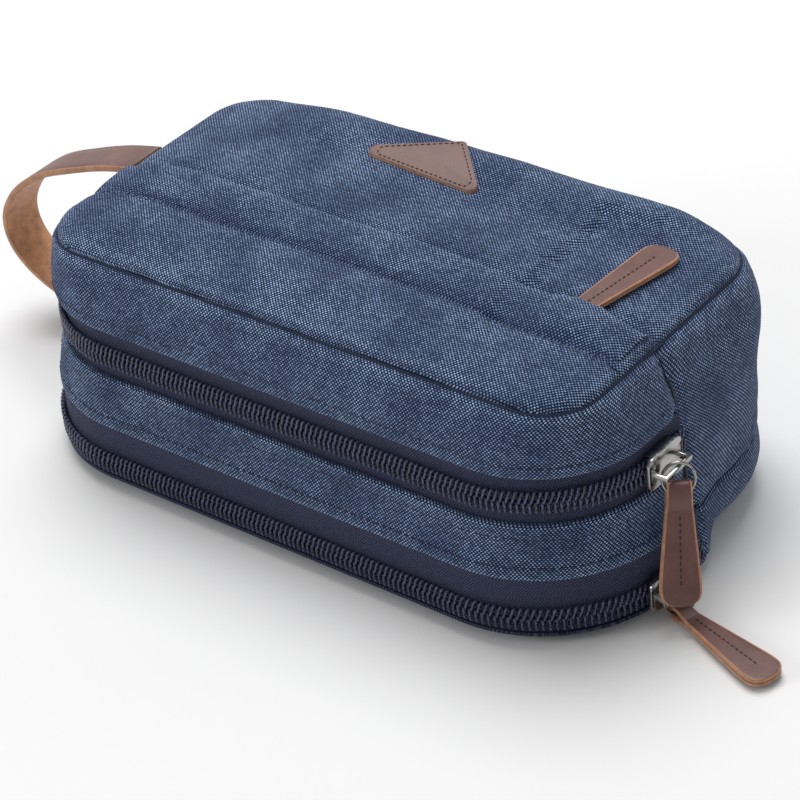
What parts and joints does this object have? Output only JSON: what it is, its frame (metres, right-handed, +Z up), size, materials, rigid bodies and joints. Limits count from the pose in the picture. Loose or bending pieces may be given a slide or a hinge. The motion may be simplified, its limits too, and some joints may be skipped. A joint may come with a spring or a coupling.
{
  "type": "shaving kit bag",
  "caption": "Soft canvas wash bag with a hinged zip lid, a zipped base compartment, a top pocket, folded leather zip pulls and a side strap handle.",
  "frame": {"origin": "centre of the flat base, on the surface the bag stands on", "axes": "+X along the bag's length towards the ends of the zips where the sliders park, +Y to the back, -Y to the zip front, +Z up"},
  "size_m": [0.3871, 0.1528, 0.1014],
  "materials": {
    "navy_canvas": "plain weave canvas, matte",
    "nylon_tape": "herringbone nylon tape",
    "nylon_coil": "nylon coil teeth",
    "brown_leather": "smooth brown leather, tan edges",
    "nickel": "nickel plated, polished",
    "lining_cloth": "polyester lining",
    "foam": "thin foam",
    "fibre_board": "stiffener board"
  },
  "bodies": {
    "case": {"rear_gusset": "navy_canvas", "rear_base_band": "navy_canvas", "middle_band": "navy_canvas", "rear_top_panel": "navy_canvas", "front_top_fold": "navy_canvas", "side_folds": "navy_canvas", "pocket_zip_tape": "nylon_tape", "pocket_zip_coil": "nylon_coil", "pocket_bag": "lining_cloth", "triangle_patch": "brown_leather", "handle_strap": "brown_leather", "upper_tape_case": "nylon_tape", "upper_coil_case": "nylon_coil", "lower_tape_case": "nylon_tape", "lower_coil_case": "nylon_coil", "rear_base_panel": "navy_canvas", "base_fold": "navy_canvas", "rear_base_board": "fibre_board", "divider": "lining_cloth", "rear_foam": "foam", "middle_foam": "foam", "rear_lining": "lining_cloth", "middle_lining": "lining_cloth", "top_lining": "lining_cloth", "lower_lining": "lining_cloth", "rear_seam_binding": "nylon_tape"},
    "lid": {"lid_top_panel": "navy_canvas", "lid_front_gusset": "navy_canvas", "upper_tape_lid": "nylon_tape", "upper_coil_lid": "nylon_coil", "lid_foam": "foam", "lid_lining": "lining_cloth", "lid_seam_binding": "nylon_tape"},
    "base_flap": {"front_base_panel": "navy_canvas", "front_base_rim": "navy_canvas", "front_base_board": "fibre_board", "lower_tape_base": "nylon_tape", "lower_coil_base": "nylon_coil"},
    "fly": {"pocket_fly": "navy_canvas"},
    "pocket_runner": {"pocket_slider": "nickel"},
    "pocket_tab": {"pocket_pull": "brown_leather"},
    "upper_runner": {"upper_slider": "nickel"},
    "upper_link": {"upper_ring": "nickel"},
    "upper_tab": {"upper_pull": "brown_leather"},
    "lower_runner": {"lower_slider": "nickel"},
    "lower_link": {"lower_ring": "nickel"},
    "lower_tab": {"lower_pull": "brown_leather"}
  },
  "joints": [
    {"name": "lid_open", "type": "hinge", "parent": "case", "child": "lid", "pos_m": [0, -0.029, 0.056], "axis": [-1, 0, 0], "range_deg": [0, 40], "deforming": ["front_top_fold", "side_folds", "upper_tape_lid", "upper_coil_lid"]},
    {"name": "base_open", "type": "hinge", "parent": "case", "child": "base_flap", "pos_m": [0, -0.012, 0.011], "axis": [1, 0, 0], "range_deg": [0, 40], "deforming": ["base_fold", "lower_tape_base", "lower_coil_base"]},
    {"name": "pocket_slide", "type": "slide", "parent": "case", "child": "pocket_runner", "axis": [-1, 0, 0], "range_m": [0, 0.19]},
    {"name": "pocket_pull_lift", "type": "hinge", "parent": "pocket_runner", "child": "pocket_tab", "pos_m": [0.091, -0.017, 0.09795], "axis": [1, 0, 0], "range_deg": [0, 45]},
    {"name": "pocket_fly_lift", "type": "hinge", "parent": "case", "child": "fly", "pos_m": [0, -0.029, 0.0955], "axis": [1, 0, 0], "range_deg": [0, 45]},
    {"name": "upper_zip_run", "type": "hinge", "parent": "case", "child": "upper_runner", "pos_m": [0.081, -0.024, 0.056], "axis": [0, 0, -1], "range_deg": [0, 85]},
    {"name": "upper_ring_swing", "type": "hinge", "parent": "upper_runner", "child": "upper_link", "pos_m": [0.1368, -0.024, 0.056], "axis": [0, -1, 0], "range_deg": [0, 70]},
    {"name": "upper_pull_swing", "type": "hinge", "parent": "upper_link", "child": "upper_tab", "pos_m": [0.13842, -0.02667, 0.04842], "axis": [-0.7529, -0.6545, 0.0698], "range_deg": [0, 20]},
    {"name": "lower_zip_run", "type": "hinge", "parent": "case", "child": "lower_runner", "pos_m": [0.081, -0.024, 0.011], "axis": [0, 0, -1], "range_deg": [0, 82]},
    {"name": "lower_ring_swing", "type": "hinge", "parent": "lower_runner", "child": "lower_link", "pos_m": [0.1422, -0.0326, 0.011], "axis": [-0.1392, -0.9903, 0], "range_deg": [0, 13]},
    {"name": "lower_pull_lift", "type": "hinge", "parent": "lower_link", "child": "lower_tab", "pos_m": [0.14158, -0.03339, 0.003], "axis": [-0.2974, -0.9548, 0], "range_deg": [0, 14]}
  ],
  "couplings": [
    {"joint": "pocket_fly_lift", "follows": "pocket_pull_lift", "ratio": 1}
  ]
}
